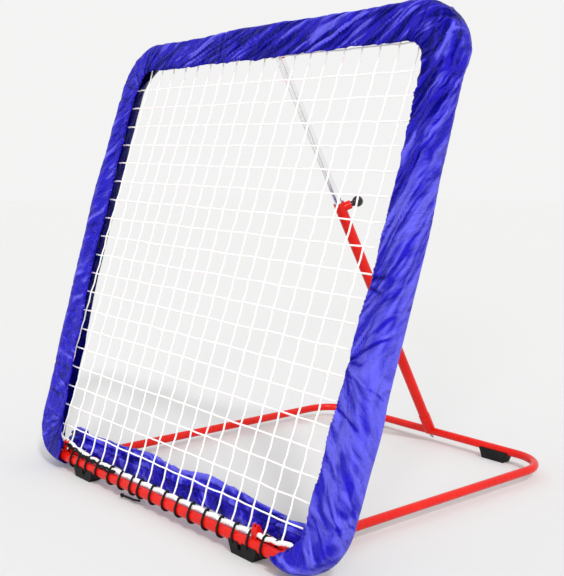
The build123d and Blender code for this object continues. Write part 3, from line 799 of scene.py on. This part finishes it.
def cover_section(s, e):
    """Corner points of the C-shaped section at each run length: (outward, out of the front)."""
    total = e[-1]
    front = smooth_mix(s, [
        (0, 24 * MM), (0.016, 38 * MM), (e[0], 43 * MM), (e[0] + 0.016, 66 * MM), (e[0] + 0.047, 76 * MM),
        (e[1] - 0.02, 79 * MM), (e[1], 79 * MM), (e[1] + 0.155, 60 * MM), (e[1] + 0.343, 41 * MM),
        (e[2] - 0.05, 39 * MM), (e[2] + 0.03, 50 * MM), (e[3], 54 * MM), (e[4] - 0.1, 52 * MM),
        (e[4] + 0.03, 50 * MM), (e[5] - 0.02, 46 * MM), (e[5] + 0.02, 41 * MM), (e[5] + 0.2, 38 * MM),
        (e[5] + 0.37, 40 * MM), (e[6] - 0.3, 47 * MM), (e[6] - 0.13, 52 * MM), (e[6], 57 * MM),
        (e[6] + 0.047, 53 * MM), (e[6] + 0.094, 37 * MM), (e[6] + 0.127, 25 * MM), (total - 0.02, 15 * MM),
        (total, -2 * MM)])
    out = smooth_mix(s, [
        (0, 13 * MM), (e[0] + 0.02, 13.5 * MM), (e[1], 14 * MM), (e[1] + 0.22, 24 * MM),
        (e[1] + 0.39, 30 * MM), (e[1] + 0.53, 34 * MM), (e[2] - 0.12, 26 * MM), (e[2], 22 * MM),
        (e[2] + 0.09, 17 * MM), (e[3] + 0.1, 15 * MM), (e[3] + 0.33, 24 * MM), (e[4] - 0.15, 25 * MM),
        (e[4] + 0.05, 31 * MM), (e[4] + 0.11, 31 * MM), (e[5] + 0.02, 23 * MM), (e[5] + 0.17, 25 * MM),
        (e[5] + 0.3, 31 * MM), (e[5] + 0.45, 30 * MM), (e[6] - 0.22, 28 * MM), (e[6] - 0.17, 31 * MM),
        (e[6] - 0.07, 26 * MM), (e[6] + 0.05, 24 * MM), (e[7] - 0.02, 21 * MM), (total, 13 * MM)])
    rear = smooth_mix(s, [
        (0, -6 * MM), (e[0], -4 * MM), (e[1], 24 * MM), (e[1] + 0.155, 17 * MM), (e[1] + 0.343, -3 * MM),
        (e[2], -4 * MM), (e[3] + 0.1, 18 * MM), (e[4] - 0.1, 22 * MM), (e[5], 12 * MM), (e[6], 8 * MM),
        (e[7], -4 * MM), (total, -6 * MM)])
    middle = (e[3] + e[4]) / 2
    notch = np.clip(1.6 - np.abs(s - middle) / 0.03, 0, 1)
    rear = rear * (1 - notch) - 6 * MM * notch
    near_end = np.clip(np.minimum(s, total - s) / 0.12, 0, 1)
    corner = np.exp(-((s - (e[2] + e[3]) / 2) / 0.060) ** 2)
    lining = ((2 * MM + 15.5 * MM * near_end) * (1 - notch) + 2 * MM * notch
              + 20 * MM * corner)
    lining_n = -22 * MM + 25.5 * MM * near_end * (1 - notch) - 11 * MM * corner
    puff = 21.5 * MM + 0.35 * np.clip(out - 20 * MM, 0, 1)
    flat = 0 * s
    front = front + (1.7 * MM * soft_noise(s, flat, 0.012, 1, 3)
                     + 2.6 * MM * soft_noise(s, flat, 0.055, 1, 4))
    rear = rear + 2 * MM * soft_noise(s, flat, 0.03, 1, 5)
    section = [
        (-front, 16.5 * MM + flat), (-front + 5 * MM, 19 * MM + flat), (-front * 0.5, 20.0 * MM + flat),
        (flat, puff), (out * 0.62, puff - 0.8 * MM), (out - 2.2 * MM, 16.5 * MM + flat),
        (out + 0.3 * MM, 8 * MM + flat), (out + 1.2 * MM, -8 * MM + flat), (out + 0.3 * MM, -21 * MM + flat),
        (out - 5 * MM, -29.5 * MM + flat),
        (out * 0.35, -32 * MM + flat), (-rear + 1.5 * MM, -31.5 * MM + flat),
        (-rear * 0.5 - lining * 0.5, -26 * MM + flat), (-lining, lining_n * 0.6 - 7 * MM),
        (-lining, lining_n),
    ]
    return np.array([[a, n] for a, n in section])


def cover_surface():
    """Grid of the cloth: run lengths s, widths q, section positions and outward normals."""
    total = ring_place(np.zeros(1))[4][-1]
    s = np.linspace(0, total, int(total / COVER_STEP))
    u, v, du, dv, edges = ring_place(s)
    control = cover_section(s, edges)
    count = len(control)
    shares = np.linspace(0, count - 1, ROWS)
    base = np.clip(np.floor(shares).astype(int), 0, count - 2)
    t = (shares - base)[:, None, None]
    p0, p1, p2, p3 = (control[np.clip(base + k, 0, count - 1)] for k in (-1, 0, 1, 2))
    curve = 0.5 * (2 * p1 + (p2 - p0) * t + (2 * p0 - 5 * p1 + 4 * p2 - p3) * t ** 2
                   + (3 * p1 - p0 - 3 * p2 + p3) * t ** 3)
    a, n = curve[:, 0], curve[:, 1]
    run = np.zeros_like(a)
    run[1:] = np.cumsum(np.hypot(np.diff(a, axis=0), np.diff(n, axis=0)), axis=0)
    step_a, step_n = np.gradient(a, axis=0), np.gradient(n, axis=0)
    size = np.hypot(step_a, step_n) + 1e-9
    return s, run, a, n, -step_n / size, step_a / size, (u, v, du, dv), edges


def fold_slant(s, edges):
    """How far the folds lean: run length gained for each step across the cloth.

    tr and br are the middles of the top right and bottom right corners."""
    tr, br = (edges[4] + edges[5]) / 2, (edges[6] + edges[7]) / 2
    return smooth_mix(s, [
        (0, 0.5), (edges[1], 0.3), (edges[2] - 0.1, -0.8), (edges[3], 1.0), (edges[3] + 0.15, 2.6),
        (edges[4] - 0.25, 2.2), (tr - 0.12, 1.5), (tr - 0.02, 0.6),
        (tr + 0.02, -0.5), (tr + 0.12, -1.5), (tr + 0.40, -2.2), (br - 0.4, -1.6),
        (br - 0.25, 1.6), (br - 0.12, 1.2), (br - 0.02, 0.4), (br + 0.02, -0.4),
        (edges[-1], -1.0)])


def fold_field(s, q, n, edges):
    """Height of the wrinkles over the cloth, their painted shade and light, and the place across the folds.

    level is painted light and shade along the frame, lighter or darker part by part; single folds are drawn
    at random along it."""
    total = edges[-1]
    draw = np.random.default_rng(11)
    grid_s = np.broadcast_to(s, q.shape)
    length = q[-1]
    slant = fold_slant(s, edges)
    power = smooth_mix(s, [
        (0, 0.9), (edges[1], 0.7), (edges[1] + 0.2, 0.5), (edges[2] - 0.1, 0.7), (edges[3], 0.9),
        (edges[4], 1.25), (edges[5], 1.25), (edges[5] + 0.3, 0.7), (edges[6], 0.6), (total, 0.9)])
    # Painted light and shade along the frame, lighter or darker part by part.
    level = smooth_mix(s, [
        (0, -0.3), (edges[1], 0.05), (edges[2] - 0.1, 0.15), (edges[3], -0.15), (edges[3] + 0.25, -0.05),
        (edges[4] - 0.15, 0.10), (edges[4], -0.08), (edges[5], -0.05), (edges[5] + 0.18, 0.40),
        (edges[5] + 0.28, 0.6), (edges[5] + 0.42, 0.65), (edges[6] - 0.25, 0.72), (edges[6], 0.5),
        (edges[7], 0.1), (total, -0.2)])
    wall = np.clip((n + 2 * MM) / (12 * MM), 0, 1)
    along = grid_s - slant * (q - 0.04)
    facets = creases(along, q, 0.030, 101)
    broad = creases(along * 0.6 + 0.8 * q, q - along, 0.036, 131)
    height = 0.9 * MM * facets + 0.45 * MM * creases(along, q, 0.014, 111) + 0.8 * MM * broad
    height *= power * (0.30 + 0.70 * wall)
    # Painted shade in fold valleys and painted light on ridges and in patches.
    shade = level + 0.22 * facets + 0.30 * broad + 0.30 * soft_noise(along, q, 0.020, 0.050, 141)
    # Painted light on the outer right wall and painted shade on the outer top wall.
    outer = np.clip((10 * MM - n) / (6 * MM), 0, 1)
    painted_light_side_wall = outer * (grid_s > edges[5] - 0.03) * (q > 0.04)
    painted_shade_top_wall = outer * (grid_s > edges[2]) * (grid_s < edges[5] - 0.06) * (q > 0.04)
    shade = shade + 0.12 * painted_light_side_wall - 0.35 * painted_shade_top_wall
    place = 0.0
    while place < total:
        local_power = float(np.interp(place, s, power))
        place += draw.uniform(0.003, 0.010) / local_power ** 1.5
        local = float(np.interp(place, s, slant)) + draw.uniform(-0.35, 0.35)
        begin = draw.choice([0.0, draw.uniform(0, 0.075)], p=[0.45, 0.55])
        end = begin + draw.uniform(0.022, 0.075)
        width = draw.uniform(0.0013, 0.0034) * math.hypot(1, local)
        sign = draw.choice([-1.0, 1.0], p=[0.62, 0.38])
        tall = sign * draw.uniform(0.5, 1.7) * MM * local_power
        bend = draw.uniform(-7, 7)
        near = (s > place - 0.2) & (s < place + 0.2)
        sub_s, sub_q = grid_s[:, near], q[:, near]
        across = (sub_s - place - local * (sub_q - 0.03) - bend * (sub_q - 0.05) ** 2) / width
        window = np.clip((sub_q - begin + 0.008) / 0.02, 0, 1) * np.clip((end - sub_q) / 0.02, 0, 1)
        stroke = ease(window) * np.exp(-np.abs(across) ** 1.4)
        height[:, near] += tall * stroke
        # Painted shade in each sunken fold and painted light on each raised one.
        shade[:, near] += sign * draw.uniform(0.5, 1.5) * local_power * stroke
    for place, lean, reach, width in PRESSED_FOLDS:
        across = (grid_s - edges[5] - place - lean * q) / width
        stroke = np.clip((reach - q) / 0.02, 0, 1) * np.exp(-np.abs(across) ** 1.4)
        height -= 3.0 * MM * stroke
        # Painted shade in the pressed crease.
        shade -= 1.3 * stroke
    height += 1.0 * MM * soft_noise(grid_s, q, 0.11, 0.08, 31)
    for edge, seed in ((q, 41), (length - q, 43)):
        hem = np.exp(-edge / 0.010)
        gather = creases(grid_s + 0.25 * edge, edge, 0.0085, seed, 0.6)
        height = height * (1 - 0.55 * hem) + hem * 1.5 * MM * gather
        # Painted shade along the hems and in their gathers, painted light on the gathers' ridges.
        shade += hem * (0.9 * gather - 0.30)
    for seam in (edges[3] + SEAM_TOP_LEFT, edges[4] + SEAM_TOP_RIGHT):
        near = np.exp(-((grid_s - seam) / 0.004) ** 2)
        height = height * (1 - 0.8 * near) - 1.2 * MM * near
        shade -= 0.5 * near
    gentle = grid_s - np.clip(slant, -0.8, 0.8) * (q - 0.04)
    return height - 0.8 * MM, np.clip(0.44 + 0.46 * shade, 0, 1), gentle


def cloth_faces(count, rows):
    """Quads of a grid stored row by row."""
    k, r = np.meshgrid(np.arange(count - 1), np.arange(rows - 1))
    first = (r * count + k).ravel()
    return np.stack([first, first + 1, first + count + 1, first + count], axis=-1)


def make_cover():
    """The left, top and right panels, cut from one surface at its two seams."""
    s, q, a, n, out_a, out_n, (u, v, du, dv), edges = cover_surface()
    height, shade, along = fold_field(s, q, n, edges)
    inner = np.clip((q[-1] - q - 0.028) / 0.02, 0, 1)
    height = height * (0.25 + 0.75 * inner)
    a2, n2 = a + out_a * height, n + out_n * height
    reach = np.hypot(a2, n2)
    least = FRAME_R + 2 * LACE_R + CLOTH_CLEAR
    grow = np.where(reach < least, least / np.maximum(reach, 1e-6), 1)
    a2, n2 = a2 * grow, n2 * grow
    points = at_array(u + du * a2, v + dv * a2, n2)
    cuts = {"cover_left": (0, edges[3] + SEAM_TOP_LEFT),
            "cover_top": (edges[3] + SEAM_TOP_LEFT, edges[4] + SEAM_TOP_RIGHT),
            "cover_right": (edges[4] + SEAM_TOP_RIGHT, edges[-1])}
    for node, (low, high) in cuts.items():
        inside = np.where((s >= low - 1e-9) & (s <= high + COVER_STEP))[0]
        count = len(inside)
        faces = cloth_faces(count, ROWS)
        # lift carries the painted shade and light of the folds.
        first = {"run": np.broadcast_to(s[inside], (ROWS, count)), "fold": along[:, inside],
                 "lift": shade[:, inside]}
        layers = {name: np.stack([values, q[:, inside]], axis=-1).reshape(-1, 2)[faces.ravel()]
                  for name, values in first.items()}
        piece = mesh_object(node + "_cloth", points[:, inside].reshape(-1, 3), faces.tolist(), NYLON,
                            **layers)
        # Lining rows get the darker nylon: painted shade under the front flap.
        piece.data.materials.append(SHADED_LINING)
        shaded_lining_faces = (faces[:, 0] // count) >= LINING_ROW
        piece.data.polygons.foreach_set("material_index", shaded_lining_faces.astype(np.int32))
        thick = piece.modifiers.new("cloth", "SOLIDIFY")
        thick.thickness = CLOTH_THICK
        thick.offset = -1
        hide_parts(node)
        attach(piece, "net_frame")


make_cover()


# ---------------------------------------------------------------- bottom panel, a loose roll
ROLL_LEFT, ROLL_RIGHT = -0.459, 0.430
ROLL_POINTS, ROLL_SIDES = 340, 84    # along it and round it
ROLL_R = 0.026                   # turns the angle round the roll into metres of cloth
ROLL_TOP = [(-0.447, 0.064), (-0.40, 0.067), (-0.33, 0.064), (-0.25, 0.066), (-0.20, 0.069),
            (-0.12, 0.074), (-0.05, 0.066), (-0.01, 0.064), (0.03, 0.070), (0.08, 0.077),
            (0.16, 0.073), (0.24, 0.066), (0.33, 0.062), (0.43, 0.066)]
ROLL_LOW, ROLL_DEEP = 0.013, 0.0088  # its lower edge and half its depth
ROLL_BACK = -0.0485              # its middle, behind the rail
ROLL_FRONT = -0.0345             # it comes no nearer to the rail
# The same four over a base arm, where the roll is pressed flat and stands nearer to the rail.
ARM_LOW, ARM_DEEP, ARM_BACK, ARM_FRONT = 0.025, 0.0035, -0.0215, -0.0145
ARM = 0.359                      # of the base arms, right and left of the middle


def make_roll():
    """The bottom panel, drawn back behind the rail; top, low, deep and n are those of its section."""
    count, around = ROLL_POINTS, ROLL_SIDES
    x = np.linspace(ROLL_LEFT, ROLL_RIGHT, count)
    turn = np.arange(around) / around * 2 * math.pi
    grid_x, grid_t = np.meshgrid(x, turn, indexing="ij")
    zero = 0 * grid_x
    arc = grid_t * ROLL_R
    top = np.interp(grid_x, *zip(*ROLL_TOP))
    low = ROLL_LOW + 0.003 * soft_noise(grid_x, zero, 0.06, 1, 60)
    arms = ease(np.clip(1.35 - np.abs(np.abs(grid_x) - ARM) / 0.030, 0, 1))
    low = low * (1 - arms) + ARM_LOW * arms
    half, middle = (top - low) / 2, (top + low) / 2
    deep = ROLL_DEEP + 0.0014 * soft_noise(grid_x, zero, 0.07, 1, 62)
    ends = np.clip(np.minimum(grid_x - ROLL_LEFT, ROLL_RIGHT - grid_x) / 0.02, 0.25, 1) ** 0.5
    slant = grid_x + 0.55 * arc
    puff = (1.9 * MM * creases(slant, arc, 0.046, 201)
            + 0.8 * MM * creases(slant - 1.2 * arc, arc, 0.020, 211))
    puff += (0.5 * MM * creases(arc + 0.3 * slant, slant, 0.016, 221)
             + 2.4 * MM * soft_noise(slant, arc, 0.06, 0.04, 231))
    drape = 1.6 * MM * creases(arc + 0.10 * np.sin(grid_x * 9), grid_x, 0.024, 241)
    face = np.cos(grid_t)
    flatten = np.sign(face) * np.abs(face) ** 0.55
    valley_at = 0.2 * soft_noise(grid_x, zero, 0.1, 1, 64)
    valley = np.exp(-((np.sin(grid_t) - 0.42 - valley_at) / 0.13) ** 2)
    v = middle + (half * ends) * np.sin(grid_t) + puff * np.sin(grid_t) * 0.8
    middle_n = ROLL_BACK * (1 - arms) + ARM_BACK * arms
    deep = deep * (1 - arms) + ARM_DEEP * arms
    n = (middle_n + (deep * ends) * flatten + (puff + drape) * face * (1 - 0.6 * arms)
         - 0.004 * valley * (face > 0))
    n = np.minimum(n, ROLL_FRONT * (1 - arms) + ARM_FRONT * arms)
    # Painted light along the roll's top and on its puffs, painted shade in its valley.
    painted_light_crest = np.clip(np.sin(grid_t) - 0.2, 0, 1)
    shade = np.clip(0.50 + 0.40 * painted_light_crest + 0.36 * (puff / MM) / 3 + 0.12 * drape / MM - 0.42 * valley
                    + 0.25 * soft_noise(slant, arc, 0.045, 0.02, 251), 0, 1).ravel()
    points = at_array(grid_x, v, n).reshape(-1, 3)
    faces = []
    for i in range(count - 1):
        for k in range(around):
            j = (k + 1) % around
            faces.append((i * around + k, i * around + j, (i + 1) * around + j, (i + 1) * around + k))
    for end, order in ((0, 1), (count - 1, -1)):
        faces.append(tuple(end * around + k for k in range(around))[::order])
    corners = np.concatenate([np.asarray(face) for face in faces])
    run = np.stack([grid_x.ravel(), arc.ravel()], axis=-1)
    fold = np.stack([0.55 * run[:, 0] + 0.3 * run[:, 1], 0.7 * run[:, 1]], axis=-1)
    lift = np.stack([shade, run[:, 1]], axis=-1)
    piece = mesh_object("cover_bottom_cloth", points, faces, NYLON,
                        run=run[corners], fold=fold[corners], lift=lift[corners])
    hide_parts("cover_bottom")
    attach(piece, "net_frame")


make_roll()


# ---------------------------------------------------------------- floor and light
FLOOR_REACH = 14.0
FLOOR_COLOUR = (0.675, 0.674, 0.672)
WORLD_COLOUR, WORLD_STRENGTH = (1.0, 0.998, 0.995), 0.90
# Each sun: name, where it shines from, its width in degrees and its strength.
SUNS = [("key", (2.6, -0.9, 3.1), 8, 1.3), ("front", (1.7, -2.3, 1.0), 12, 0.9)]


def plain(name, colour, roughness):
    material, _, shader = new_material(name)
    shader.inputs["Base Color"].default_value = (*colour, 1)
    shader.inputs["Roughness"].default_value = roughness
    return material


def make_stage():
    """Pale floor, even sky and two soft suns."""
    corners = [(x * FLOOR_REACH, y * FLOOR_REACH, 0) for x, y in ((-1, -1), (1, -1), (1, 1), (-1, 1))]
    floor = mesh_object("floor", corners, [(0, 1, 2, 3)], plain("pale_floor", FLOOR_COLOUR, 0.9),
                        smooth=False)
    world = bpy.data.worlds.new("studio")
    world.use_nodes = True
    background = world.node_tree.nodes["Background"]
    background.inputs["Color"].default_value = (*WORLD_COLOUR, 1)
    background.inputs["Strength"].default_value = WORLD_STRENGTH
    bpy.context.scene.world = world
    for name, place, angle, power in SUNS:
        data = bpy.data.lights.new(name, "SUN")
        data.angle = math.radians(angle)
        data.energy = power
        light = bpy.data.objects.new(name, data)
        light.location = place
        light.rotation_euler = (-Vector(place)).to_track_quat("-Z", "Y").to_euler()
        bpy.context.scene.collection.objects.link(light)


make_stage()
